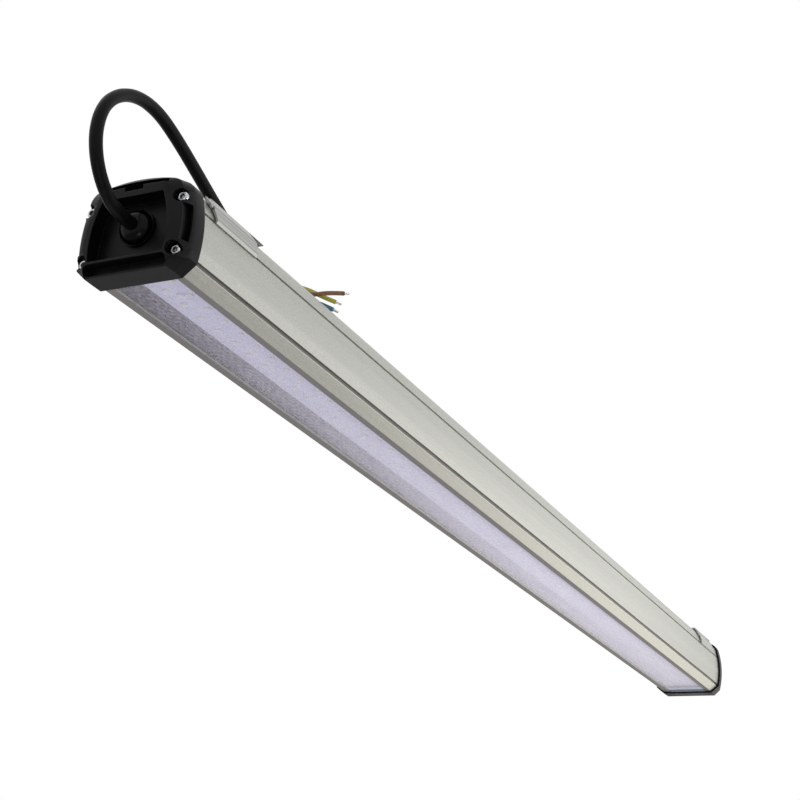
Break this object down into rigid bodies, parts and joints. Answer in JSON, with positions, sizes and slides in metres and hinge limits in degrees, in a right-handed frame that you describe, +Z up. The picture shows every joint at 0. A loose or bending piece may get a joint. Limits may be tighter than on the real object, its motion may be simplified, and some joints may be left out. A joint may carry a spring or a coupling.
{
  "type": "led linear light",
  "caption": "Long LED linear light: an aluminium extrusion with a clear cover below, black end caps, a short supply cord and clip-on ceiling brackets.",
  "frame": {"origin": "under the middle of the light, in the plane of the end caps' flat feet", "axes": "+X along the light, away from the cable end; +Z up, from the clear cover to the brackets"},
  "size_m": [1.0377, 0.0671, 0.098],
  "materials": {
    "housing": "satin anodised, drawn lengthwise",
    "cover": "clear, with fine drawn streaks",
    "cap": "moulded black, satin",
    "gasket": "soft pale silicone, matt",
    "screw": "zinc plated",
    "gland": "moulded black, satin",
    "jacket": "smooth black jacket",
    "brown_core": "smooth",
    "blue_core": "smooth",
    "earth_core": "smooth, striped green and yellow",
    "red_lead": "smooth",
    "black_lead": "smooth",
    "strand": "bare twisted strands, tinned",
    "tag": "tinned",
    "bracket": "folded sheet, satin",
    "board": "white mask",
    "lamp": "pale yellow lens",
    "link": "white",
    "driver": "white moulding",
    "terminal": "off white"
  },
  "bodies": {
    "root": {"housing": "housing", "clear_cover": "cover", "cable_end_cap": "cap", "blank_end_cap": "cap", "cable_end_gasket": "gasket", "blank_end_gasket": "gasket", "gland_seal": "gasket", "cable_end_screws": "screw", "blank_end_screws": "screw", "board_screws": "screw", "terminal_screw": "screw", "earth_screw": "screw", "driver_screws": "screw", "gland_body": "gland", "gland_dome": "gland", "gland_lock_nut": "gland", "cord": "jacket", "cord_inner": "jacket", "wire_brown": "brown_core", "inner_core_brown": "brown_core", "supply_lead_brown": "brown_core", "wire_blue": "blue_core", "inner_core_blue": "blue_core", "supply_lead_blue": "blue_core", "wire_green_yellow": "earth_core", "earth_core": "earth_core", "lamp_lead_red": "red_lead", "lamp_lead_black": "black_lead", "wire_ends": "strand", "earth_tag": "tag", "cable_end_bracket": "bracket", "blank_end_bracket": "bracket", "cable_side_board": "board", "blank_side_board": "board", "cable_side_lamps": "lamp", "blank_side_lamps": "lamp", "board_link": "link", "driver_case": "driver", "terminal_block": "terminal"}
  },
  "joints": []
}
